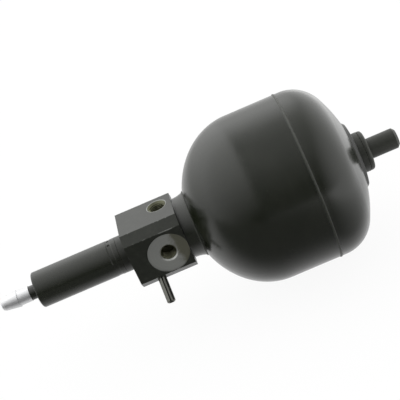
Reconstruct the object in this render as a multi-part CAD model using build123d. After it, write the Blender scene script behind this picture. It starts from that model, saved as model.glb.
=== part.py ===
from build123d import *
from math import asin, atan2, cos, degrees, radians, sin, sqrt
import os

# Brake accumulator. Millimetres, +X along the axis towards the mounting stud, +Z up through the block's
# upper port, -Y out of its front port. The origin is on the axis, at the shoulder that the stud leaves.

# Mounting stud and the ring it stands on
stud_radius = 6.0
stud_length = 17.7
stud_chamfer = 1.5
flange_inset = 0.1
flange_thickness = 2.9
flange_round = 1.8
edge_break = 0.25
plug_radius = 4.0
plug_length = 6.5
base_ring_radius = 11.8
base_ring_height = 3.6
base_ring_weld_radius = 9.0
base_ring_root = 1.5

# Pressure vessel
vessel_radius = 49.7
vessel_wall = 3.5
vessel_flank = 33.2
gas_flank = 2.8
crown_radius = 85.9
knuckle_radius = 21.5
dome_depth = 42.3
bead_width = 1.0
bead_height = 0.35
rim_step = 0.8
rim_step_depth = 8.0
pad_radius = 20.0
pad_thickness = 1.2
pad_bevel = 1.5
pad_clearance = 0.2

# Diaphragm, its button and the ring that clamps its rim
rubber_thickness = 2.0
rubber_gap = 0.4
rubber_bead = 3.0
rubber_centre_radius = 19.0
clamp_wall = 2.6
button_radius = 13.0
button_thickness = 2.5
button_stem_radius = 4.0
button_head_radius = 7.0
button_head_thickness = 1.2
button_gap = 0.3

# Neck between vessel and block
neck_root_radius = 19.5
neck_hole_radius = 17.0
neck_radius = 18.0
neck_length = 7.0
neck_shoulder_radius = 17.3
neck_gap = 0.6
neck_land = 1.0
spigot_radius = 7.0
spigot_length = 8.5
channel_radius = 2.0

# Non-return valve in the neck's spigot
ball_radius = 2.5
ball_room = 0.7
ball_lift = 1.2
check_seat_radius = 4.2
check_seat_length = 2.0
check_hole_radius = 1.6
check_wire_radius = 0.3
check_coil_radius = 1.9
check_spring_closed = 4.8
check_turns = 4.0

# Valve block
block_size = 36.0
block_length = 33.5
block_bevel = 5.0
port_radius = 4.5
port_depth = 9.5
port_drill_radius = 1.5
front_port_x = 11.8
front_port_z = -0.85
front_port_chamfer = 0.9
spot_face_radius = 12.1
spot_face_depth = 0.4
upper_port_x = 8.8
upper_port_y = 4.0
upper_port_chamfer = 1.3
upper_drill_slant = 6.0
tail_radius = 10.75
tail_length = 4.6
tail_fit_length = 11.0
bore_radius = 6.0

# Locating pin
pin_radius = 2.5
pin_squeeze = 0.1
pin_wall = 0.9
pin_slot = 0.8
pin_length = 23.1
pin_depth = 8.0
pin_chamfer = 0.5
pin_mouth = 0.8
pin_x = 21.5

# Valve tube with its rolled groove, and the hose nipple
tube_length = 52.5
tube_wall = 1.5
tube_round = 1.1
crimp_x = 2.8
crimp_width = 3.4
crimp_slope = 0.6
crimp_depth = 0.15
stake_radius = 0.8
stake_depth = 0.7
first_stake_angle = 75.0
second_stake_angle = 98.0
collar_radius = 4.2
collar_length = 4.5
nipple_spigot_radius = 3.2
nipple_radius = 4.45
nipple_neck = 7.0
barb_radius = 5.05
barb_length = 9.0
barb_tip_radius = 3.9
barb_step = 0.4
nipple_tip = 1.7
nipple_bore = 2.0
nipple_flange_radius = 5.5
nipple_flange_thickness = 1.0

# Cut-off valve inside the tube
sleeve_length = 27.0
spool_radius = 3.0
spool_clearance = 0.03
spool_length = 28.2
spool_head_radius = 5.0
spool_head_thickness = 1.5
spool_travel = 2.2
land_length = 2.5
waist_length = 3.5
waist_radius = 2.2
vent_radius = 1.0
vent_cross_radius = 0.8
annulus_width = 3.0
annulus_depth = 0.8
seal_room_radius = 4.6
seal_room_length = 3.4
clip_thickness = 1.0
clip_groove = 0.8
clip_wall = 1.6
clip_gap = 3.0
seat_radius = 8.6
seat_thickness = 1.4
seat_hub_radius = 5.5
seat_hub_length = 2.5
seat_hole_radius = 1.5
shim_thickness = 1.4
shim_clearance = 0.4
spring_wire_radius = 1.1
spring_coil_radius = 7.1
spring_turns = 7.5

# Sealing rings
ring_section = 0.75
ring_room = 0.1
tail_ring_section = 0.65
neck_ring_radius = 11.0
filler_ring_radius = 6.4

# Gap between pieces that touch, and how far a cutter stands out of what it cuts
fit = 0.02
overcut = 1.0

# Places along the axis, worked out from the stud's shoulder towards the nipple
flange_radius = base_ring_radius - flange_inset
flange_x = -flange_thickness
crown_x = flange_x - base_ring_height
crown_centre_x = crown_x - crown_radius
knuckle_x = crown_centre_x + sqrt((crown_radius - knuckle_radius) ** 2 - (vessel_radius - knuckle_radius) ** 2)
tangent_angle = degrees(atan2(vessel_radius - knuckle_radius, knuckle_x - crown_centre_x))
seam_x = knuckle_x - gas_flank
dome_x = knuckle_x - vessel_flank
inner_radius = vessel_radius - vessel_wall
inner_depth = dome_depth - vessel_wall
step_radius = inner_radius + rim_step
step_x = seam_x - rim_step_depth
clamp_x = step_x + rubber_bead
clamp_end_x = knuckle_x - rim_step


def on_crown(radius_of_sphere, r):
    """The x where a dished end of this radius is r away from the axis."""
    return crown_centre_x + sqrt(radius_of_sphere ** 2 - r ** 2)


def on_dome(depth, radius_of_rim, r):
    """The x where a domed end of this depth and rim radius is r away from the axis."""
    return dome_x - depth * sqrt(1 - (r / radius_of_rim) ** 2)


ring_seat_x = on_crown(crown_radius, base_ring_radius)
neck_root_x = on_dome(dome_depth, vessel_radius, neck_root_radius)
neck_x = neck_root_x - neck_length
block_x = neck_x - neck_gap
port_face_x = on_dome(inner_depth, inner_radius, neck_hole_radius) + neck_land
button_x = port_face_x + button_gap
rubber_x = button_x + button_thickness
spigot_x = block_x - spigot_length
check_seat_x = spigot_x + check_seat_length
ball_x = check_seat_x + sqrt(ball_radius ** 2 - check_hole_radius ** 2) + fit
check_spring_x = ball_x + ball_radius
chamber_x = check_spring_x + ball_lift + check_spring_closed
block_end_x = block_x - block_length
tail_x = block_end_x - tail_length
tail_end_x = tail_x - tail_fit_length
tube_end_x = tail_x - tube_length
collar_x = tube_end_x - collar_length
tube_inner_radius = tail_radius - tube_wall
tail_fit_radius = tube_inner_radius - fit
tube_floor_x = tube_end_x + tube_wall
sleeve_x = tail_end_x + clip_thickness + clip_groove
sleeve_end_x = sleeve_x + sleeve_length
spool_x = tail_end_x - fit
spool_end_x = spool_x + spool_length
waist_end_x = spool_end_x - land_length
waist_x = waist_end_x - waist_length
annulus_centre_x = waist_x - spool_travel + vent_cross_radius
seat_x = spool_x - spool_head_thickness
spring_x = seat_x - seat_thickness
shim_x = tube_floor_x + shim_thickness
front_port_centre_x = block_x - front_port_x
upper_port_centre_x = block_x - upper_port_x
pin_centre_x = block_x - pin_x
pin_held_radius = pin_radius - pin_squeeze
half_block = block_size / 2
bevel_distance = (block_size - block_bevel) / sqrt(2)


def turned(*points):
    """A solid of revolution about the X axis, from a closed outline of (x, radius) points."""
    return revolve(make_face(Polyline(*points, close=True)), Axis.X)


def ring(x0, x1, inner, outer):
    """A plain ring on the axis."""
    return turned((x0, inner), (x1, inner), (x1, outer), (x0, outer))


def disc(x0, x1, radius):
    """A plain disc or rod on the axis."""
    return ring(x0, x1, 0, radius)


def drilling(start, end, radius):
    """A round drilling from one point to another."""
    way = Vector(*end) - Vector(*start)
    return extrude(Plane(origin=start, z_dir=way) * Circle(radius), way.length)


def seal_ring(x, radius, section):
    """A round-section sealing ring on the axis."""
    return revolve(Pos(x, radius) * Circle(section), Axis.X)


def coil_spring(x0, x1, coil_radius, wire_radius, turns):
    """A compression spring with both ends ground flat."""
    pitch = (x1 - x0) / turns
    start = x0 - wire_radius
    wire_path = Helix(pitch, x1 - start + wire_radius, coil_radius, center=(start, 0, 0), direction=(1, 0, 0))
    wire = sweep(Plane(wire_path @ 0, z_dir=wire_path % 0) * Circle(wire_radius), wire_path, is_frenet=True)
    return wire & disc(x0, x1, coil_radius + 3 * wire_radius)


def fluid_shell():
    """Left half of the vessel: a straight flank and a half-ellipse dome, open for the neck."""
    rim = degrees(asin(neck_root_radius / vessel_radius))
    inner_rim = degrees(asin(neck_hole_radius / inner_radius))
    hole_x = on_dome(inner_depth, inner_radius, neck_hole_radius)
    outer = EllipticalCenterArc((dome_x, 0), dome_depth, vessel_radius, 90, arc_size=90 - rim)
    inner = EllipticalCenterArc((dome_x, 0), inner_depth, inner_radius, 90, arc_size=90 - inner_rim)
    throat = Polyline((neck_root_x, neck_root_radius), (neck_root_x, neck_hole_radius), (hole_x, neck_hole_radius))
    inside = Polyline(
        (dome_x, inner_radius), (step_x, inner_radius), (step_x, step_radius), (seam_x, step_radius),
        (seam_x, vessel_radius),
    )
    bead = ThreePointArc(
        (seam_x, vessel_radius), (seam_x - bead_width / 2, vessel_radius + bead_height),
        (seam_x - bead_width, vessel_radius),
    )
    flank = Line((seam_x - bead_width, vessel_radius), (dome_x, vessel_radius))
    return revolve(make_face([outer, throat, inner, inside, bead, flank]), Axis.X)


def dished_line(radius_of_vessel, radius_of_knuckle, radius_of_crown, r_end):
    """Knuckle and crown of the dished end, from the flank to the radius r_end."""
    knuckle = CenterArc((knuckle_x, vessel_radius - knuckle_radius), radius_of_knuckle, 90, tangent_angle - 90)
    end_angle = degrees(asin(r_end / radius_of_crown))
    crown = CenterArc((crown_centre_x, 0), radius_of_crown, end_angle, tangent_angle - end_angle)
    return [knuckle, crown]


def gas_shell():
    """Right half of the vessel: a short flank, a knuckle and a shallow crown, open for the base ring."""
    outer = dished_line(vessel_radius, knuckle_radius, crown_radius, base_ring_radius)
    inner = dished_line(
        inner_radius, knuckle_radius - vessel_wall, crown_radius - vessel_wall, base_ring_weld_radius
    )
    throat = Polyline(
        (ring_seat_x, base_ring_radius),
        (ring_seat_x, base_ring_weld_radius),
        (on_crown(crown_radius - vessel_wall, base_ring_weld_radius), base_ring_weld_radius),
    )
    rim = Polyline(
        (knuckle_x, inner_radius), (clamp_end_x, inner_radius), (clamp_end_x, step_radius),
        (seam_x, step_radius), (seam_x, vessel_radius), (knuckle_x, vessel_radius),
    )
    return revolve(make_face(outer + inner + [throat, rim]), Axis.X)


def end_pad():
    """Thin disc on the crown, bevelled to a feather edge."""
    hole = base_ring_radius + pad_clearance
    top = crown_radius + pad_thickness
    flat = pad_radius - pad_bevel
    start = degrees(asin(hole / crown_radius))
    end = degrees(asin(pad_radius / crown_radius))
    top_start = degrees(asin(hole / top))
    top_end = degrees(asin(flat / top))
    under = CenterArc((crown_centre_x, 0), crown_radius, start, end - start)
    over = CenterArc((crown_centre_x, 0), top, top_start, top_end - top_start)
    bevel = Line((on_crown(top, flat), flat), (on_crown(crown_radius, pad_radius), pad_radius))
    hole_side = Line((on_crown(crown_radius, hole), hole), (on_crown(top, hole), hole))
    return revolve(make_face([under, bevel, over, hole_side]), Axis.X)


def filler_ring_groove():
    """Room for the ring that seals the gas filling hole, in the top of the base ring."""
    half = ring_section + ring_room
    return ring(flange_x - 2 * ring_section, flange_x, filler_ring_radius - half, filler_ring_radius + half)


def filler_boss():
    """Ring at the stud's base: a collar outside the gas shell, a weld land through it, a tapped hole."""
    root_x = on_crown(crown_radius - vessel_wall, base_ring_weld_radius) - base_ring_root
    body = turned(
        (root_x, plug_radius + fit),
        (root_x, base_ring_weld_radius),
        (ring_seat_x, base_ring_weld_radius),
        (ring_seat_x, base_ring_radius),
        (flange_x - edge_break, base_ring_radius),
        (flange_x, base_ring_radius - edge_break),
        (flange_x, plug_radius + fit),
    )
    return body - filler_ring_groove()


def mounting_stud():
    """Plain stud and collar on a short screwed shank that closes the gas filling hole."""
    shoulder = Polyline(
        (flange_x - plug_length, 0),
        (flange_x - plug_length, plug_radius - edge_break),
        (flange_x - plug_length + edge_break, plug_radius),
        (flange_x, plug_radius),
        (flange_x, flange_radius - edge_break),
        (flange_x + edge_break, flange_radius),
        (-flange_round, flange_radius),
    )
    corner = CenterArc((-flange_round, flange_radius - flange_round), flange_round, 0, 90)
    stud = Polyline(
        (0, flange_radius - flange_round),
        (0, stud_radius),
        (stud_length - stud_chamfer, stud_radius),
        (stud_length, stud_radius - stud_chamfer),
        (stud_length, 0),
        (flange_x - plug_length, 0),
    )
    return revolve(make_face([shoulder, corner, stud]), Axis.X)


def rubber_line(radius, depth, r_end):
    """Half-ellipse of one face of the diaphragm, from the straight rim to its flat centre."""
    angle = degrees(asin(r_end / radius))
    return EllipticalCenterArc((dome_x, 0), depth, radius, 90, arc_size=90 - angle)


def diaphragm():
    """Rubber cup at rest against the fluid side: a thick rim, a thin wall and a flat centre."""
    outer_radius = inner_radius - rubber_gap
    thin_radius = outer_radius - rubber_thickness
    centre_x = rubber_x + rubber_thickness
    outer_depth = (dome_x - rubber_x) / sqrt(1 - (rubber_centre_radius / outer_radius) ** 2)
    thin_depth = (dome_x - centre_x) / sqrt(1 - (rubber_centre_radius / thin_radius) ** 2)
    outer = rubber_line(outer_radius, outer_depth, rubber_centre_radius)
    centre = Polyline(
        (rubber_x, rubber_centre_radius),
        (rubber_x, button_stem_radius),
        (centre_x, button_stem_radius),
        (centre_x, rubber_centre_radius),
    )
    inner = rubber_line(thin_radius, thin_depth, rubber_centre_radius)
    rim = Polyline(
        (dome_x, thin_radius), (clamp_x, thin_radius), (clamp_x, step_radius - fit),
        (step_x, step_radius - fit), (step_x, outer_radius), (dome_x, outer_radius),
    )
    return revolve(make_face([outer, centre, inner, rim]), Axis.X)


def diaphragm_button():
    """Metal button in the diaphragm's centre: a face for the fluid port, a stem and a riveted head."""
    stem_end = rubber_x + rubber_thickness
    return turned(
        (button_x, 0),
        (button_x, button_radius - edge_break),
        (button_x + edge_break, button_radius),
        (rubber_x - edge_break, button_radius),
        (rubber_x, button_radius - edge_break),
        (rubber_x, button_stem_radius - fit),
        (stem_end, button_stem_radius - fit),
        (stem_end, button_head_radius),
        (stem_end + button_head_thickness, button_head_radius - edge_break),
        (stem_end + button_head_thickness, 0),
    )


def clamp_ring():
    """Steel ring behind the girth weld. It presses the diaphragm's rim on the step in the fluid shell."""
    outer = step_radius - fit
    inner = outer - clamp_wall
    return turned(
        (clamp_x, inner + edge_break), (clamp_x, outer), (clamp_end_x, outer), (clamp_end_x, inner),
        (clamp_x + edge_break, inner),
    )


def upper_drilling():
    """Slanting drilling from the upper port's floor to the room round the check ball."""
    start = (upper_port_centre_x + port_drill_radius / 2, upper_port_y, half_block - port_depth + overcut)
    return drilling(start, (start[0] + upper_drill_slant, 0, 0), port_drill_radius)


def neck_boss():
    """Flared neck: weld root in the fluid shell, shoulder on the block, screwed spigot in the block."""
    flare = TangentArc((neck_x, neck_radius), (neck_root_x, neck_root_radius), tangent=(1, 0))
    root = Polyline(
        (neck_root_x, neck_root_radius),
        (neck_root_x, neck_hole_radius),
        (port_face_x - edge_break, neck_hole_radius),
        (port_face_x, neck_hole_radius - edge_break),
        (port_face_x, 0),
        (spigot_x, 0),
        (spigot_x, spigot_radius - edge_break),
        (spigot_x + edge_break, spigot_radius),
        (block_x, spigot_radius),
        (block_x, neck_shoulder_radius),
        (neck_x, neck_shoulder_radius),
        (neck_x, neck_radius),
    )
    body = revolve(make_face([flare, root]), Axis.X)
    seal_half = ring_section + ring_room
    seal_groove = ring(
        block_x, block_x + 2 * ring_section, neck_ring_radius - seal_half, neck_ring_radius + seal_half
    )
    mouth = turned(
        (port_face_x - channel_radius, 0), (port_face_x, 0), (port_face_x, 2 * channel_radius),
        (port_face_x - channel_radius, channel_radius),
    )
    body -= disc(chamber_x, port_face_x, channel_radius) + mouth
    body -= disc(check_seat_x, chamber_x, ball_radius + ball_room)
    body -= disc(spigot_x, check_seat_x, check_seat_radius + fit)
    return body - seal_groove - upper_drilling()


def check_seat():
    """Ring pressed in the spigot, with the hole that the ball closes."""
    return ring(spigot_x, check_seat_x, check_hole_radius, check_seat_radius)


def front_port():
    """Tapped port in the front face, in a shallow spot face, with a drilling to the axis."""
    x = front_port_centre_x
    mouth_y = -half_block
    floor_y = mouth_y + port_depth
    face_y = mouth_y + spot_face_depth
    z = front_port_z
    hole = drilling((x, mouth_y - overcut, z), (x, floor_y, z), port_radius)
    spot = drilling((x, mouth_y - overcut, z), (x, face_y, z), spot_face_radius)
    lip = Cone(port_radius + front_port_chamfer, port_radius, front_port_chamfer)
    lip = Pos(x, face_y + front_port_chamfer / 2, z) * Rot(-90, 0, 0) * lip
    inner = drilling((x, floor_y - overcut, z), (x, 0, 0), port_drill_radius)
    cut_off = drilling(
        (x - port_radius / 2, floor_y - overcut, z), (annulus_centre_x, -bore_radius, 0), vent_radius
    )
    return hole + spot + lip + inner + cut_off


def upper_port():
    """Tapped port in the upper face, with a countersunk mouth."""
    x = upper_port_centre_x
    top = half_block
    hole = drilling((x, upper_port_y, top + overcut), (x, upper_port_y, top - port_depth), port_radius)
    lip = Cone(port_radius, port_radius + upper_port_chamfer, upper_port_chamfer)
    return hole + Pos(x, upper_port_y, top - upper_port_chamfer / 2) * lip + upper_drilling()


def pin_plane(distance):
    """Plane across the locating pin: its normal runs out of the lower front bevel, local Y up and forward."""
    origin = (pin_centre_x, -distance / sqrt(2), -distance / sqrt(2))
    return Plane(origin=origin, x_dir=(1, 0, 0), z_dir=(0, -1, -1))


def valve_block():
    """Square block with bevelled long edges and a turned tail for the valve tube."""
    section = chamfer(Rectangle(block_size, block_size).vertices(), block_bevel)
    body = extrude(Plane(origin=(block_end_x, 0, 0), x_dir=(0, 1, 0), z_dir=(1, 0, 0)) * section, block_length)
    body += disc(tail_x, block_end_x, tail_radius)
    body += disc(tail_end_x, tail_x, tail_fit_radius)
    body -= disc(spigot_x - fit, block_x, spigot_radius + fit)
    body -= disc(tail_end_x, sleeve_end_x + fit, bore_radius + fit)
    body -= disc(sleeve_end_x, spigot_x, check_hole_radius)
    clip_x = tail_end_x + clip_groove
    body -= disc(clip_x - fit, clip_x + clip_thickness + fit, bore_radius + clip_groove)
    body -= crimp_groove()
    body -= tail_seal_groove()
    body -= front_port()
    body -= upper_port()
    socket_x = bevel_distance - pin_depth
    body -= extrude(pin_plane(socket_x) * Circle(pin_held_radius + fit), pin_depth + pin_mouth)
    mouth = Cone(pin_held_radius + fit, pin_radius + pin_mouth, pin_mouth)
    return body - pin_plane(bevel_distance - pin_mouth / 2) * mouth


def crimp_outline(radius, spread):
    """Rolled groove at this radius, as a solid with sloping sides, wider by spread at each side."""
    centre = tail_x - crimp_x - crimp_width / 2
    half = crimp_width / 2 + spread
    return turned(
        (centre - half, radius + fit),
        (centre - half + crimp_slope, radius - crimp_depth - spread),
        (centre + half - crimp_slope, radius - crimp_depth - spread),
        (centre + half, radius + fit),
        (centre + half, radius + overcut),
        (centre - half, radius + overcut),
    )


def crimp_groove():
    """Groove in the block's tail that the tube is rolled into."""
    return crimp_outline(tail_fit_radius, fit)


def tail_seal_x():
    return (tail_end_x + tail_x - crimp_x - crimp_width) / 2


def tail_seal_groove():
    half = tail_ring_section + ring_room
    depth = 2 * tail_ring_section
    return ring(tail_seal_x() - half, tail_seal_x() + half, tail_fit_radius - depth, tail_radius)


def locating_pin():
    """Rolled spring pin: a slotted tube, squeezed a little where the block holds it, both ends tapered."""
    body = turned(
        (0, 0),
        (0, pin_held_radius - pin_chamfer),
        (pin_chamfer, pin_held_radius),
        (pin_depth - pin_mouth, pin_held_radius),
        (pin_depth, pin_radius),
        (pin_length - pin_chamfer, pin_radius),
        (pin_length, pin_radius - pin_chamfer),
        (pin_length, 0),
    )
    inner_end = pin_plane(bevel_distance - pin_depth)
    body = Plane(origin=inner_end.origin, x_dir=inner_end.z_dir, z_dir=inner_end.x_dir) * body
    slot = Pos(0, pin_radius) * Rectangle(pin_slot, 2 * pin_radius)
    hollow = Circle(pin_radius - pin_wall) + slot
    return body - extrude(inner_end * hollow, pin_length)


def stake_mark(angle):
    """A round punch mark in the rolled groove, at this angle round from the front towards the top."""
    centre = tail_x - crimp_x - crimp_width / 2
    reach = tail_radius - crimp_depth - stake_depth + stake_radius
    y = -reach * cos(radians(angle))
    z = reach * sin(radians(angle))
    return Pos(centre, y, z) * Sphere(stake_radius)


def valve_housing():
    """Drawn tube with a rolled groove. Its closed end is drawn out to a small collar."""
    open_side = Polyline(
        (tube_end_x + tube_round, tail_radius),
        (tail_x, tail_radius),
        (tail_x, tube_inner_radius),
        (tube_floor_x + tube_round, tube_inner_radius),
    )
    inner_corner = CenterArc(
        (tube_floor_x + tube_round, tube_inner_radius - tube_round), tube_round, 90, 90
    )
    closed_side = Polyline(
        (tube_floor_x, tube_inner_radius - tube_round),
        (tube_floor_x, nipple_spigot_radius),
        (collar_x, nipple_spigot_radius),
        (collar_x, collar_radius - edge_break),
        (collar_x + edge_break, collar_radius),
        (tube_end_x, collar_radius),
        (tube_end_x, tail_radius - tube_round),
    )
    outer_corner = CenterArc((tube_end_x + tube_round, tail_radius - tube_round), tube_round, 90, 90)
    body = revolve(make_face([open_side, inner_corner, closed_side, outer_corner]), Axis.X)
    ridge = crimp_outline(tube_inner_radius, 0) & disc(tube_end_x, tail_x, tube_inner_radius + fit)
    body += ridge
    body -= crimp_outline(tail_radius, 0)
    return body - stake_mark(first_stake_angle) - stake_mark(second_stake_angle)


def return_nipple():
    """Hose nipple: a flange in the tube, a spigot in the collar, a plain neck and one barb."""
    shoulder_x = collar_x - nipple_neck
    barb_end_x = shoulder_x - barb_length
    tip_x = barb_end_x - nipple_tip
    body = turned(
        (tube_floor_x + nipple_flange_thickness, nipple_bore),
        (tube_floor_x + nipple_flange_thickness, nipple_flange_radius),
        (tube_floor_x, nipple_flange_radius),
        (tube_floor_x, nipple_spigot_radius),
        (collar_x, nipple_spigot_radius),
        (collar_x, nipple_radius),
        (shoulder_x, nipple_radius),
        (shoulder_x - barb_step, barb_radius),
        (barb_end_x, barb_tip_radius),
        (tip_x + nipple_tip / 3, barb_tip_radius - nipple_tip / 4),
        (tip_x, barb_tip_radius - nipple_tip / 2),
        (tip_x, nipple_bore),
    )
    return body


def valve_sleeve():
    """Hardened sleeve for the spool, with a fed annulus and room for the sliding seal."""
    body = ring(sleeve_x, sleeve_end_x, spool_radius + spool_clearance, bore_radius)
    outside = bore_radius + overcut
    half = annulus_width / 2
    body -= ring(annulus_centre_x - half, annulus_centre_x + half, bore_radius - annulus_depth, outside)
    half_seal = ring_section + ring_room
    for side in (-1, 1):
        seal_x = annulus_centre_x + side * sleeve_seal_offset()
        body -= ring(seal_x - half_seal, seal_x + half_seal, bore_radius - 2 * ring_section, outside)
    body -= drilling((annulus_centre_x, -bore_radius, 0), (annulus_centre_x, bore_radius, 0), vent_cross_radius)
    return body - disc(sleeve_x, sleeve_x + seal_room_length, seal_room_radius)


def sleeve_seal_offset():
    return annulus_width / 2 + 2 * ring_section


def sleeve_seals():
    """The two rings on the sleeve, one each side of the annulus."""
    rings = []
    for side in (-1, 1):
        x = annulus_centre_x + side * sleeve_seal_offset()
        rings.append(seal_ring(x, bore_radius - ring_section, ring_section - fit))
    return Compound(children=rings)


def sleeve_circlip():
    """Open spring clip in a groove at the mouth of the block's bore."""
    x = tail_end_x + clip_groove
    outer = bore_radius + clip_groove - fit
    clip = ring(x, x + clip_thickness, outer - clip_wall, outer)
    return clip - Pos(x, 0, -outer) * Box(4 * clip_thickness, clip_gap, 2 * outer - 2 * spool_radius)


def control_piston():
    """Cut-off spool: a seat for the spring at its head, a waist, an end land and a vent bore."""
    body = turned(
        (seat_x, 0),
        (seat_x, spool_head_radius),
        (spool_x, spool_head_radius),
        (spool_x, spool_radius),
        (waist_x, spool_radius),
        (waist_x, waist_radius),
        (waist_end_x, waist_radius),
        (waist_end_x, spool_radius),
        (spool_end_x - edge_break, spool_radius),
        (spool_end_x, spool_radius - edge_break),
        (spool_end_x, 0),
    )
    vent_x = waist_end_x - waist_length / 2
    body -= disc(seat_x, vent_x + vent_cross_radius, vent_radius)
    return body - drilling((vent_x, -spool_radius, 0), (vent_x, spool_radius, 0), vent_cross_radius)


def seal_room_section():
    return (seal_room_radius - spool_radius - spool_clearance) / 2


def piston_seal():
    section = seal_room_section()
    x = sleeve_x + seal_room_length - section
    return seal_ring(x, spool_radius + spool_clearance + section, section - fit)


def piston_backup_ring():
    inner = spool_radius + spool_clearance
    section = seal_room_section()
    return ring(sleeve_x + fit, sleeve_x + seal_room_length - 2 * section, inner, seal_room_radius - fit)


def spring_seat():
    """Flanged washer on the spool's head that centres the control spring."""
    body = disc(spring_x, seat_x, seat_radius)
    body += disc(spring_x - seat_hub_length, spring_x, seat_hub_radius)
    return body - disc(spring_x - seat_hub_length, seat_x, seat_hole_radius)


def spring_shim():
    """Setting shim between the control spring and the end of the tube."""
    return ring(tube_floor_x, shim_x, nipple_flange_radius + shim_clearance, tube_inner_radius - tube_round)


def control_spring():
    return coil_spring(shim_x, spring_x, spring_coil_radius, spring_wire_radius, spring_turns)


def check_ball():
    return Pos(ball_x, 0, 0) * Sphere(ball_radius)


def check_spring():
    start = check_spring_x - ball_radius + sqrt(ball_radius ** 2 - (check_coil_radius - check_wire_radius) ** 2)
    return coil_spring(start + fit, chamber_x, check_coil_radius, check_wire_radius, check_turns)


def neck_seal():
    return seal_ring(block_x + ring_section, neck_ring_radius, ring_section - fit)


def filler_seal():
    return seal_ring(flange_x - ring_section, filler_ring_radius, ring_section - fit)


def housing_seal():
    return seal_ring(tail_seal_x(), tail_fit_radius - tail_ring_section, tail_ring_section - fit)


nodes = [
    fluid_shell, gas_shell, end_pad, filler_boss, mounting_stud, filler_seal,
    diaphragm, diaphragm_button, clamp_ring,
    neck_boss, neck_seal, check_seat, check_ball, check_spring,
    valve_block, locating_pin, valve_housing, housing_seal, return_nipple,
    valve_sleeve, sleeve_seals, sleeve_circlip, control_piston, piston_seal, piston_backup_ring,
    spring_seat, control_spring, spring_shim,
]

os.makedirs("parts", exist_ok=True)
for node in nodes:
    export_step(node(), f"parts/{node.__name__}.step")
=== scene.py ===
from math import cos, pi, radians, sin, sqrt

import bmesh
import bpy
from mathutils import Matrix, Vector


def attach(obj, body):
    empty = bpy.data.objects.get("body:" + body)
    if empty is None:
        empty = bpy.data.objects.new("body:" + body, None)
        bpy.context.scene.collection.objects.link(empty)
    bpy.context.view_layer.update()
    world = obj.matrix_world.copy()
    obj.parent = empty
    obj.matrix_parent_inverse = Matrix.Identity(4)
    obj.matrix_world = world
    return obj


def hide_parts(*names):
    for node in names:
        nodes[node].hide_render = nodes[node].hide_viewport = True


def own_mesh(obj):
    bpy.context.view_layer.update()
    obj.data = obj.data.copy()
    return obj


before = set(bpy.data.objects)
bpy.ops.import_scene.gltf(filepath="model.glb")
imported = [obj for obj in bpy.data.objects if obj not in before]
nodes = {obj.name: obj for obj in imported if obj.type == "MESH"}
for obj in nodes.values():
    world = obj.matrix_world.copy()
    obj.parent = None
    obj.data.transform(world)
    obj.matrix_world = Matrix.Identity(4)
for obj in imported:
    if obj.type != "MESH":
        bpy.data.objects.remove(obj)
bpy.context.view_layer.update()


# Pressure vessel: two deep-drawn steel halves, joined by one thin girth weld and sprayed satin black.
# The paint has a fine orange peel, and a film of dust and fingermarks that clouds its gloss. The bead's
# ripples and a dusty line beside them mark the seam.
class Link:
    """One output of a node. Sums on it add Math nodes, and node() adds any other node to its tree."""

    def __init__(self, socket):
        self.socket = socket
        self.tree = socket.id_data

    def node(self, kind, sockets, output=0, stops=None, **settings):
        made = self.tree.nodes.new(kind)
        for name, value in settings.items():
            setattr(made, name, value)
        if stops:
            ramp = made.color_ramp
            while len(ramp.elements) < len(stops):
                ramp.elements.new(1)
            for element, (position, grey) in zip(ramp.elements, stops):
                element.position = position
                element.color = (grey, grey, grey, 1)
        for name, value in sockets.items():
            if isinstance(value, Link):
                self.tree.links.new(value.socket, made.inputs[name])
            else:
                made.inputs[name].default_value = value
        return Link(made.outputs[output])

    def math(self, operation, first, second=0.0):
        return self.node("ShaderNodeMath", {0: first, 1: second}, operation=operation)

    def __add__(self, other):
        return self.math("ADD", self, other)

    def __radd__(self, other):
        return self.math("ADD", other, self)

    def __sub__(self, other):
        return self.math("SUBTRACT", self, other)

    def __rsub__(self, other):
        return self.math("SUBTRACT", other, self)

    def __mul__(self, other):
        return self.math("MULTIPLY", self, other)

    def __rmul__(self, other):
        return self.math("MULTIPLY", other, self)

    def __truediv__(self, other):
        return self.math("DIVIDE", self, other)

    def __abs__(self):
        return self.math("ABSOLUTE", self)

    def at_least(self, other):
        return self.math("MAXIMUM", self, other)

    def at_most(self, other):
        return self.math("MINIMUM", self, other)

    def beyond(self, other):
        """The length of a right-angled offset: from two distances to one."""
        return (self * self + other * other).math("SQRT", self * self + other * other)

    def rise(self, low, high):
        """0 below low, 1 above high, and smooth between them."""
        sockets = {"Value": self, "From Min": low, "From Max": high}
        return self.node("ShaderNodeMapRange", sockets, interpolation_type="SMOOTHSTEP")

    def fall(self, low, high):
        """1 below low, 0 above high."""
        return 1 - self.rise(low, high)

    def line(self, middle, half_width):
        """1 on a narrow line round this value, with soft sides."""
        return abs(self - middle).fall(half_width * 0.5, half_width)

    def parts(self):
        """The three coordinates of a vector."""
        return [self.node("ShaderNodeSeparateXYZ", {"Vector": self}, output=axis) for axis in "XYZ"]

    def scaled(self, x, y, z):
        """A vector times another, to stretch a pattern."""
        return self.node("ShaderNodeVectorMath", {0: self, 1: (x, y, z)}, operation="MULTIPLY")

    def noise(self, size, detail=2.0, roughness=0.5):
        """Noise from 0 to 1 on a vector in mm, with blotches of about this size in mm."""
        sockets = {"Vector": self, "Scale": 1 / size, "Detail": detail, "Roughness": roughness}
        return self.node("ShaderNodeTexNoise", sockets)

    def colour_to(self, first, second):
        """Mixes two colours, plain or linked, by this value."""
        return self.node("ShaderNodeMix", {0: self, 6: first, 7: second}, output=2, data_type="RGBA")

    def bump(self, height):
        """A normal with relief of this height in mm."""
        return self.node("ShaderNodeBump", {"Height": height, "Distance": 0.001, "Strength": 1.0})


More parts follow.
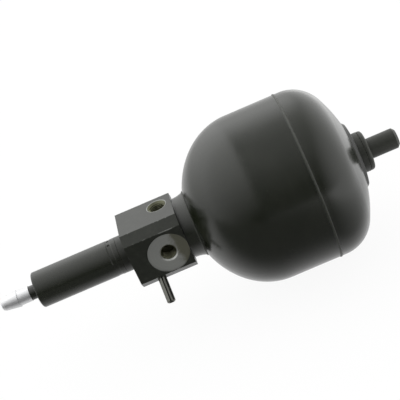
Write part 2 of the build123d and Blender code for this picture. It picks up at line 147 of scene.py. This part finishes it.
def new_material(name):
    """An empty material, and its surface point in mm."""
    material = bpy.data.materials.new(name)
    material.use_nodes = True
    material.node_tree.nodes.clear()
    place = Link(material.node_tree.nodes.new("ShaderNodeTexCoord").outputs["Object"])
    return material, place.scaled(1000, 1000, 1000)


def surface(place, **sockets):
    """Ends a material in one Principled shader."""
    named = {name.replace("_", " "): value for name, value in sockets.items()}
    shader = place.node("ShaderNodeBsdfPrincipled", named)
    output = place.tree.nodes.new("ShaderNodeOutputMaterial")
    place.tree.links.new(shader.socket, output.inputs["Surface"])


def black_paint(place, dust_and_painted_light, relief, gloss=0.2):
    """Satin black paint over steel. Dust and wear grey it, and so do painted highlight and painted shade where
    callers pass them in; relief in mm stands in it, and gloss is its roughness.
    """
    peel = place.noise(1.1, 3)
    cloud = place.noise(17, 4, 0.6).rise(0.3, 0.7)
    base = cloud.colour_to((0.0088, 0.0108, 0.0058, 1), (0.0115, 0.0136, 0.0078, 1))
    colour = (dust_and_painted_light * 0.6).colour_to(base, (0.055, 0.058, 0.044, 1))
    surface(
        place, Base_Color=colour, Roughness=gloss + cloud * 0.05 + dust_and_painted_light * 0.25,
        Normal=place.bump(peel * 0.006 + relief), IOR=1.5,
    )


def finish_node(name, material):
    """Gives a CAD node its material."""
    node = nodes[name]
    node.data.materials.clear()
    node.data.materials.append(material)


def grown(name, material, sizes, shape_of):
    """A plain mesh that its own Geometry Nodes tree grows. The tree's inputs are the piece's sizes, in mm."""
    tree = bpy.data.node_groups.new(name, "GeometryNodeTree")
    tree.interface.new_socket("Shape", in_out="OUTPUT", socket_type="NodeSocketGeometry")
    for size, value in sizes.items():
        kind = "NodeSocketInt" if isinstance(value, int) else "NodeSocketFloat"
        tree.interface.new_socket(size, in_out="INPUT", socket_type=kind)
    entry = tree.nodes.new("NodeGroupInput")
    shape = shape_of(*[Link(entry.outputs[size]) for size in sizes])
    shape = shape.node("GeometryNodeTransform", {"Geometry": shape, "Scale": (0.001, 0.001, 0.001)})
    shape = shape.node("GeometryNodeRealizeInstances", {"Geometry": shape})
    shape = shape.node("GeometryNodeSetMaterial", {"Geometry": shape, "Material": material})
    way_out = tree.nodes.new("NodeGroupOutput")
    tree.links.new(shape.socket, way_out.inputs["Shape"])
    piece = bpy.data.objects.new(name, bpy.data.meshes.new(name))
    bpy.context.scene.collection.objects.link(piece)
    modifier = piece.modifiers.new("grow", "NODES")
    modifier.node_group = tree
    for item in tree.interface.items_tree:
        if item.in_out == "INPUT":
            modifier[item.identifier] = sizes[item.name]
    mesh = bpy.data.meshes.new_from_object(piece.evaluated_get(bpy.context.evaluated_depsgraph_get()))
    piece.modifiers.remove(modifier)
    piece.data = mesh
    return piece


def weld_ripples(ripples, weld_x, radius, width, height):
    """Overlapping ripples of a weld bead round the X axis."""
    turn = ripples.node("GeometryNodeInputIndex", {}) * (2 * pi) / ripples
    points = ripples.node("GeometryNodeMeshLine", {"Count": ripples, "Offset": (0, 0, 0)})
    spot = ripples.node("ShaderNodeCombineXYZ", {
        "X": weld_x, "Y": radius * turn.math("COSINE", turn), "Z": radius * turn.math("SINE", turn),
    })
    points = points.node("GeometryNodeSetPosition", {"Geometry": points, "Position": spot})
    ripple = points.node("GeometryNodeMeshUVSphere", {"Segments": 10, "Rings": 5, "Radius": 1.0})
    ripple = ripple.node("GeometryNodeSetShadeSmooth", {"Geometry": ripple, "Shade Smooth": True})
    return points.node("GeometryNodeInstanceOnPoints", {
        "Points": points, "Instance": ripple,
        "Rotation": points.node("ShaderNodeCombineXYZ", {"X": turn + 0.18}),
        "Scale": points.node("ShaderNodeCombineXYZ", {
            "X": width / 2, "Y": height, "Z": radius * (1.2 * 2 * pi) / ripples,
        }),
    })


seam_x = -37.3
vessel_paint, place = new_material("vessel_paint")
x, y, z = place.parts()
speck = place.noise(0.8, 1).rise(0.73, 0.78) * place.noise(15, 2).rise(0.5, 0.7)
smear = place.scaled(1, 0.35, 0.35).noise(11, 4, 0.65).rise(0.55, 0.85)
seam_dust = (x.line(seam_x - 1.0, 0.7) + x.line(seam_x + 0.4, 0.5) * 0.5) * place.noise(3, 3).rise(0.2, 0.6)
drawn = place.scaled(1, 0.03, 0.03).noise(2.2, 2)
black_paint(place, speck * 0.8 + smear * 0.12 + seam_dust * 0.5, drawn * 0.008)
finish_node("fluid_shell", vessel_paint)
finish_node("gas_shell", vessel_paint)

weld_paint, place = new_material("weld_paint")
scale = place.noise(1.2, 3)
surface(
    place, Base_Color=scale.colour_to((0.02, 0.022, 0.017, 1), (0.05, 0.053, 0.042, 1)),
    Roughness=0.3 + scale * 0.15, Normal=place.bump(scale * 0.02), IOR=1.5,
)
girth_weld = grown(
    "girth_weld", weld_paint,
    {"Ripples": 420, "Weld X": seam_x - 0.5, "Radius": 49.75, "Width": 1.15, "Height": 0.34}, weld_ripples,
)
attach(girth_weld, "accumulator")


# Stud and base ring: turned steel under a thinner coat of the same paint, handled and lightly rubbed, with painted
# highlight on the filling plug's edges.
# The stud's collar is the gas filling plug, screwed down on the ring that is welded into the shell.
stud_paint, place = new_material("stud_paint")
x, y, z = place.parts()
lathe = place.scaled(1, 0.02, 0.02).noise(0.5, 2)
handled = place.noise(3, 3).rise(0.45, 0.8)
# Pale lines at the filling plug's two edges: partly rubbing, partly painted highlight on those edges.
rim_rub_and_highlight = (x.line(-0.2, 0.5) + x.line(-2.9, 0.35) * 0.6) * place.noise(2, 3).rise(0.3, 0.7)
black_paint(place, 0.12 + handled * 0.2 + rim_rub_and_highlight * 0.6, lathe * 0.01, gloss=0.42)
finish_node("mounting_stud", stud_paint)
finish_node("filler_boss", stud_paint)


# End pad: a thin moulded disc of dull black plastic, stuck on the crown round the base ring.
pad_plastic, place = new_material("pad_plastic")
grain = place.noise(0.5, 3)
surface(
    place, Base_Color=grain.colour_to((0.006, 0.007, 0.005, 1), (0.011, 0.012, 0.009, 1)),
    Roughness=0.42 + grain * 0.15, Normal=place.bump(grain * 0.02),
)
finish_node("end_pad", pad_plastic)


# Neck: turned steel, welded into the dome and painted with it. A noisy patch of greyer, duller paint round its
# lower and far side is painted shade, standing for the shade between the block and the flare, and a fine fillet of
# weld runs round its root.
neck_paint, place = new_material("neck_paint")
x, y, z = place.parts()
turning = place.scaled(1, 0.02, 0.02).noise(0.6, 2)
# Painted shade: a noisy patch of greyer, duller paint round the lower and far side of the neck.
neck_painted_shade = place.noise(4, 3).rise(0.4, 0.7) * (z - y).fall(-5, 12)
black_paint(place, neck_painted_shade * 0.2 + x.line(-106.7, 0.6) * 0.4, turning * 0.012)
finish_node("neck_boss", neck_paint)
neck_weld = grown(
    "neck_weld", weld_paint,
    {"Ripples": 150, "Weld X": -106.75, "Radius": 19.45, "Width": 1.0, "Height": 0.3}, weld_ripples,
)
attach(neck_weld, "accumulator")


# Valve block: milled from 36 mm square bar and painted, its ports tapped and the front one spot faced
# through the paint. Oil has stained the right of the spot face, the corners are rubbed, and a bare line along part
# of the front's upper edge is painted highlight.
front_x, front_z = -126.01, -0.85
upper_x, upper_y = -123.01, 4.0
pin_x = -135.71
block_left, block_right = -147.71, -114.21
block_paint, place = new_material("block_paint")
x, y, z = place.parts()
from_front = (x - front_x).beyond(z - front_z)
from_upper = (x - upper_x).beyond(y - upper_y)
from_pin = (x - pin_x).beyond((y - z) * sqrt(0.5))
outside = y.beyond(z).rise(11.5, 12.0)
spot_face = y.line(-17.6, 0.3) * from_front.fall(12.0, 12.15)
front_lip = from_front.fall(5.5, 5.6) * y.fall(-16.9, -16.7) * y.rise(-18.1, -17.9)
upper_lip = from_upper.line(5.75, 0.4) * z.rise(17.2, 17.4)
pin_lip = from_pin.fall(2.9, 3.2) * (y + z).fall(-30.5, -29.5)
front_bore = from_front.fall(4.6, 4.7) * y.rise(-16.8, -16.5) * y.fall(-1.0, 0.0)
upper_bore = from_upper.fall(5.5, 5.7) * z.fall(17.7, 17.9) * z.rise(4.0, 5.0)
corner = (abs(y) - 18).beyond(abs(z) - 13).fall(0.2, 0.5) + (abs(y) - 13).beyond(abs(z) - 18).fall(0.2, 0.5)
corner = corner + abs(x - (block_left + block_right) / 2).rise(16.4, 16.7) * 0.7
rubbed = outside * corner * place.noise(2.2, 4).rise(0.5, 0.68)
# Painted highlight: a bare, metallic line along the right part of the edge between the front face and the upper
# bevel.
painted_edge_highlight = (y + 18).beyond(z - 13).fall(0.15, 0.5) * x.rise(-128, -125) * x.fall(-119, -118)
stain = spot_face * (x + z * 0.12 + place.noise(4, 4, 0.65) * 9).rise(-118.5, -114.5)
tool_rings = place.node("ShaderNodeCombineXYZ", {"X": from_front}).noise(0.45, 2)
brushed = place.scaled(0.06, 1, 1).noise(0.5, 3)
chip = outside * place.noise(1.3, 2).rise(0.66, 0.7) * abs(x - block_left).fall(1.5, 4)
# Bare metal of the spot face, lips and rubbed corners, together with the painted edge highlight.
bare_and_highlight = (spot_face + front_lip + upper_lip * 0.6 + pin_lip * 0.8 + rubbed * 0.2 + painted_edge_highlight * 0.25).at_most(1.0)
bright = tool_rings.colour_to((0.36, 0.37, 0.35, 1), (0.52, 0.53, 0.5, 1))
bright = (stain * 0.75).colour_to(bright, (0.13, 0.125, 0.07, 1))
bore = front_bore + upper_bore
cloud = place.noise(6, 4, 0.6).rise(0.3, 0.7)
paint = cloud.colour_to((0.0088, 0.0108, 0.0058, 1), (0.013, 0.0155, 0.0095, 1))
paint = (place.noise(2.5, 4).rise(0.45, 0.8) * 0.2 + chip * 0.2).colour_to(paint, (0.05, 0.053, 0.038, 1))
colour = bore.colour_to(bare_and_highlight.colour_to(paint, bright), (0.11, 0.112, 0.07, 1))
surface(
    place, Base_Color=colour, Roughness=0.3 + cloud * 0.06 + bare_and_highlight * 0.14 + bore * 0.1,
    Metallic=bare_and_highlight * 0.95 + bore * 0.7,
    Normal=place.bump(brushed * 0.008 * (1 - bare_and_highlight) + tool_rings * 0.012 * bare_and_highlight), IOR=1.5,
)
finish_node("valve_block", block_paint)

thread_steel, place = new_material("thread_steel")
oil = place.noise(1.5, 3)
surface(
    place, Base_Color=oil.colour_to((0.1, 0.105, 0.06, 1), (0.24, 0.24, 0.17, 1)),
    Metallic=0.9, Roughness=0.25 + oil * 0.2, Normal=place.bump(oil * 0.01),
)


def thread_along(turn, depth_way):
    """A port's internal thread: ridges on a spiral into the block, from the mouth along one direction."""

    def thread(turns, pitch, radius, ridge, mouth_x, mouth_y, mouth_z):
        path = turns.node("GeometryNodeCurveSpiral", {
            "Resolution": 40, "Rotations": turns, "Start Radius": radius, "End Radius": radius,
            "Height": turns * pitch,
        })
        path = path.node("GeometryNodeSetCurveNormal", {"Curve": path}, mode="Z_UP")
        outline = path.node("GeometryNodeCurvePrimitiveCircle", {"Resolution": 4, "Radius": ridge})
        ridges = path.node("GeometryNodeCurveToMesh", {"Curve": path, "Profile Curve": outline})
        mouth = path.node("ShaderNodeCombineXYZ", {"X": mouth_x, "Y": mouth_y, "Z": mouth_z})
        return path.node("GeometryNodeTransform", {
            "Geometry": ridges, "Translation": mouth, "Rotation": turn, "Scale": (1, 1, depth_way),
        })

    return thread


m10 = {"Turns": 7.5, "Pitch": 1.0, "Radius": 4.52, "Ridge": 0.42}
front_thread = grown(
    "front_port_thread", thread_steel, {**m10, "Mouth X": front_x, "Mouth Y": -16.6, "Mouth Z": front_z},
    thread_along((-pi / 2, 0, 0), 1),
)
upper_thread = grown(
    "upper_port_thread", thread_steel, {**m10, "Mouth X": upper_x, "Mouth Y": upper_y, "Mouth Z": 9.1},
    thread_along((0, 0, 0), 1),
)
for piece in [front_thread, upper_thread]:
    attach(piece, "accumulator")


# Locating pin: a rolled spring pin of hardened steel, driven into the block's lower front bevel.
pin_steel, place = new_material("pin_steel")
grain = place.noise(0.6, 3)
streak = place.scaled(1, 0.15, 0.15).noise(0.7, 3)
surface(
    place, Base_Color=streak.colour_to((0.09, 0.092, 0.08, 1), (0.2, 0.2, 0.18, 1)),
    Metallic=1.0, Roughness=0.26 + grain * 0.15, Normal=place.bump(grain * 0.006),
)
finish_node("locating_pin", pin_steel)


# Valve tube: deep drawn, pushed on the block's tail, rolled into its groove and staked, then painted.
tube_paint, place = new_material("tube_paint")
x, y, z = place.parts()
drawn = place.scaled(0.04, 1, 1).noise(1.2, 2)
scuff = place.noise(3, 3).rise(0.55, 0.8)
joint_line = x.line(-152.3, 0.4)
black_paint(place, scuff * 0.3, drawn * 0.008 - joint_line * 0.2)
finish_node("valve_housing", tube_paint)


# Hose nipple: turned aluminium, left bare, with the fine rings of the lathe and a little dull stain.
nipple_metal, place = new_material("nipple_metal")
lathe = place.scaled(1, 0.01, 0.01).noise(0.3, 2)
stain = place.noise(2.5, 3)
surface(
    place, Base_Color=stain.colour_to((0.62, 0.625, 0.63, 1), (0.74, 0.745, 0.75, 1)),
    Metallic=1.0, Roughness=0.42 + lathe * 0.16, Normal=place.bump(lathe * 0.02),
)
finish_node("return_nipple", nipple_metal)


# Valve pieces inside the block and tube: turned, ground and oiled steel.
inner_steel, place = new_material("inner_steel")
lathe = place.scaled(1, 0.02, 0.02).noise(0.25, 2)
oil = place.noise(6, 3)
surface(
    place, Base_Color=oil.colour_to((0.42, 0.42, 0.41, 1), (0.6, 0.59, 0.57, 1)),
    Metallic=1.0, Roughness=0.25 + lathe * 0.15, Normal=place.bump(lathe * 0.01),
)
for name in [
    "clamp_ring", "diaphragm_button", "check_seat", "check_ball", "valve_sleeve", "sleeve_circlip",
    "control_piston", "spring_seat", "spring_shim",
]:
    finish_node(name, inner_steel)


# Springs: coiled from hard-drawn wire, with closed ends ground flat. The large one loads the cut-off spool, the
# small one the check ball;
# in the real part each shortens as its valve opens, and these meshes keep one length.
spring_steel, place = new_material("spring_steel")
grain = place.noise(0.7, 3)
surface(
    place, Base_Color=grain.colour_to((0.2, 0.2, 0.2, 1), (0.34, 0.33, 0.32, 1)),
    Metallic=1.0, Roughness=0.35 + grain * 0.15, Normal=place.bump(grain * 0.01),
)


def coil(turns, start_x, end_x, coil_radius, wire_radius):
    """A compression spring on the X axis, its end turns closer than the rest and ground flat."""
    steps = turns * 36
    share = turns.node("GeometryNodeInputIndex", {}) / steps
    turn = share * turns * (2 * pi)
    gain = share - (share * (2 * pi)).math("SINE", share * (2 * pi)) * (0.5 / (2 * pi))
    points = turns.node("GeometryNodeMeshLine", {"Count": steps + 1, "Offset": (0, 0, 0)})
    spot = points.node("ShaderNodeCombineXYZ", {
        "X": start_x + wire_radius * 0.6 + gain * (end_x - start_x - wire_radius * 1.2),
        "Y": coil_radius * turn.math("COSINE", turn), "Z": coil_radius * turn.math("SINE", turn),
    })
    points = points.node("GeometryNodeSetPosition", {"Geometry": points, "Position": spot})
    path = points.node("GeometryNodeMeshToCurve", {"Mesh": points})
    outline = path.node("GeometryNodeCurvePrimitiveCircle", {"Resolution": 14, "Radius": wire_radius})
    wire = path.node("GeometryNodeCurveToMesh", {"Curve": path, "Profile Curve": outline, "Fill Caps": True})
    x, y, z = path.node("GeometryNodeInputPosition", {}).parts()
    ground = path.node("ShaderNodeCombineXYZ", {"X": x.at_least(start_x).at_most(end_x), "Y": y, "Z": z})
    return path.node("GeometryNodeSetPosition", {"Geometry": wire, "Position": ground})


cut_off_spring = grown(
    "cut_off_spring", spring_steel,
    {"Turns": 7.5, "Start X": -201.9, "End X": -166.25, "Coil radius": 7.1, "Wire radius": 1.08}, coil,
)
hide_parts("control_spring")
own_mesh(cut_off_spring)
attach(cut_off_spring, "accumulator")

ball_spring = grown(
    "ball_spring", spring_steel,
    {"Turns": 4.5, "Start X": -116.81, "End X": -110.29, "Coil radius": 1.9, "Wire radius": 0.29}, coil,
)
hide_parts("check_spring")
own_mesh(ball_spring)
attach(ball_spring, "accumulator")


# Diaphragm: a moulded rubber cup with two shallow ribs near its rim, which the clamp ring holds. In the real part
# it rolls inside out as the oil comes in; this mesh keeps one shape, and its middle carries the button.
rubber, place = new_material("rubber")
grain = place.noise(0.8, 4)
surface(
    place, Base_Color=grain.colour_to((0.012, 0.012, 0.013, 1), (0.026, 0.026, 0.027, 1)),
    Roughness=0.6 + grain * 0.2, Normal=place.bump(grain * 0.02),
)
cup_x, cup_left, cup_right = -67.7, -99.96, -97.98
cup_outline = [(cup_right, 4.05), (cup_left, 4.05), (cup_left, 19.0)]
outer_depth = (cup_x - cup_left) / sqrt(1 - (19.0 / 45.8) ** 2)
inner_depth = (cup_x - cup_right) / sqrt(1 - (19.0 / 43.8) ** 2)
for step in range(1, 19):
    r = 19.0 + (45.8 - 19.0) * sin(step / 18 * pi / 2)
    cup_outline.append((cup_x - outer_depth * sqrt(max(0, 1 - (r / 45.8) ** 2)), r))
cup_outline += [(-45.28, 45.8), (-45.28, 46.9), (-42.32, 46.9), (-42.32, 43.8), (-46.0, 43.8)]
for rib_x in [-50.0, -56.0]:
    cup_outline += [(rib_x + 1.4, 43.8), (rib_x + 0.5, 43.2), (rib_x - 0.5, 43.2), (rib_x - 1.4, 43.8)]
for step in range(0, 18):
    r = 43.8 - (43.8 - 19.0) * (1 - cos(step / 18 * pi / 2))
    cup_outline.append((cup_x - inner_depth * sqrt(max(0, 1 - (r / 43.8) ** 2)), r))
cup_outline.append((cup_right, 19.0))
cup_mesh = bmesh.new()
cup_rings = []
sides = 96
for side in range(sides):
    angle = 2 * pi * side / sides
    cup_rings.append([
        cup_mesh.verts.new((x / 1000, r / 1000 * cos(angle), r / 1000 * sin(angle))) for x, r in cup_outline
    ])
for side in range(sides):
    here, there = cup_rings[side], cup_rings[(side + 1) % sides]
    for k in range(len(cup_outline)):
        after = (k + 1) % len(cup_outline)
        cup_mesh.faces.new((here[k], here[after], there[after], there[k])).smooth = True
bmesh.ops.recalc_face_normals(cup_mesh, faces=cup_mesh.faces)
diaphragm_mesh = bpy.data.meshes.new("diaphragm_cup")
cup_mesh.to_mesh(diaphragm_mesh)
cup_mesh.free()
diaphragm_mesh.materials.append(rubber)
diaphragm_cup = bpy.data.objects.new("diaphragm_cup", diaphragm_mesh)
bpy.context.scene.collection.objects.link(diaphragm_cup)
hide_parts("diaphragm")
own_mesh(diaphragm_cup)
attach(diaphragm_cup, "accumulator")
finish_node("diaphragm", rubber)
for name in ["control_spring", "check_spring"]:
    finish_node(name, spring_steel)


# Seals: rubber rings in their grooves, and a hard plastic ring that backs the sliding one.
for name in ["filler_seal", "neck_seal", "sleeve_seals", "piston_seal", "housing_seal"]:
    finish_node(name, rubber)

backup_plastic, place = new_material("backup_plastic")
grain = place.noise(0.6, 2)
surface(
    place, Base_Color=grain.colour_to((0.6, 0.58, 0.52, 1), (0.75, 0.73, 0.68, 1)),
    Roughness=0.45 + grain * 0.1, Normal=place.bump(grain * 0.01),
)
finish_node("piston_backup_ring", backup_plastic)


# Light tent: white behind and overhead, a bright panel to the left whose edge shows in the dome, another
# along the right, and the open, darker side towards the camera. All of it stands on a table that is white to the
# camera, with painted light and painted shade on it for everything else.
tent = bpy.data.worlds.new("tent")
bpy.context.scene.world = tent
tent.use_nodes = True
tent.node_tree.nodes.clear()
way = Link(tent.node_tree.nodes.new("ShaderNodeTexCoord").outputs["Generated"])
camera_ray = Link(tent.node_tree.nodes.new("ShaderNodeLightPath").outputs["Is Camera Ray"])
x, y, z = way.parts()
behind = (y * 0.77 + z * 0.64) * 0.5 + 0.5
grey_stops = [
    (0.1, 0.075), (0.22, 0.06), (0.33, 0.12), (0.475, 0.21), (0.605, 0.32), (0.735, 0.39), (0.865, 0.44),
    (0.955, 0.58), (1.0, 0.95),
]
middle = behind.node("ShaderNodeValToRGB", {"Fac": behind}, stops=grey_stops) * 2.0
left = (1.0 + z * 0.95 + y).at_most(0.85 + z * 2.1).at_least(0.08)
right = x * 1.75 + y.at_least(0.0) * 0.7
on_left = (0 - x).rise(0.06, 0.15)
light = (middle * (1 - on_left) + left * on_left).at_least(right)
light = light * (1 - camera_ray) + camera_ray
background = way.node("ShaderNodeBackground", {"Color": (1, 1, 1, 1), "Strength": light})
world_output = tent.node_tree.nodes.new("ShaderNodeOutputWorld")
tent.node_tree.links.new(background.socket, world_output.inputs["Surface"])

table_z = -0.0515
table_reach = 1.5
table_mesh = bpy.data.meshes.new("table")
corners = [(-1, -1), (1, -1), (1, 1), (-1, 1)]
table_mesh.from_pydata([(a * table_reach, b * table_reach, table_z) for a, b in corners], [], [(0, 1, 2, 3)])
table = bpy.data.objects.new("table", table_mesh)
bpy.context.scene.collection.objects.link(table)
table_with_painted_light, place = new_material("table_with_painted_light")
ray_kinds = place.tree.nodes.new("ShaderNodeLightPath")
camera_ray, glossy_ray = Link(ray_kinds.outputs["Is Camera Ray"]), Link(ray_kinds.outputs["Is Glossy Ray"])
x, y, z = place.parts()
# Painted shade: for all but camera rays the table's colour darkens towards the front.
near = y.rise(-105, -45)
near = near.at_least(camera_ray)
matt = place.node("ShaderNodeBsdfDiffuse", {"Color": near.colour_to((0.25, 0.25, 0.25, 1), (0.85, 0.85, 0.85, 1))})
# Painted light: in reflections the table glows, dim in front and brighter behind and to the right.
painted_glow = (0.22 + y.rise(-75, -10) * 0.75).at_least((0.58 + x * 0.0098).at_most(1.7))
white = place.node(
    "ShaderNodeEmission", {"Color": (1, 1, 1, 1), "Strength": camera_ray + (1 - camera_ray) * painted_glow}
)
mixed = place.node("ShaderNodeMixShader", {0: camera_ray * 0.93 + glossy_ray, 1: matt, 2: white})
table_output = place.tree.nodes.new("ShaderNodeOutputMaterial")
place.tree.links.new(mixed.socket, table_output.inputs["Surface"])
table_mesh.materials.append(table_with_painted_light)


# Camera: a long lens in front of and above the object, rolled so that the axis climbs to the right.
lens = 107.5
distance = 0.681
above = radians(28.4)
turned_right = radians(1.9)
roll = radians(23.16)
aim_x = -0.09895
aim_off_axis = 0.011
aim = Vector((aim_x, aim_off_axis * sin(above), aim_off_axis * cos(above)))
camera_data = bpy.data.cameras.new("camera")
camera_data.lens = lens
camera_data.sensor_width = 36.0
camera = bpy.data.objects.new("camera", camera_data)
bpy.context.scene.collection.objects.link(camera)
camera.matrix_world = (
    Matrix.Translation(aim)
    @ Matrix.Rotation(pi / 2 - above, 4, "X")
    @ Matrix.Rotation(turned_right, 4, "Y")
    @ Matrix.Rotation(-roll, 4, "Z")
    @ Matrix.Translation((0, 0, distance))
)
bpy.context.scene.camera = camera
bpy.context.scene.view_settings.view_transform = "Standard"
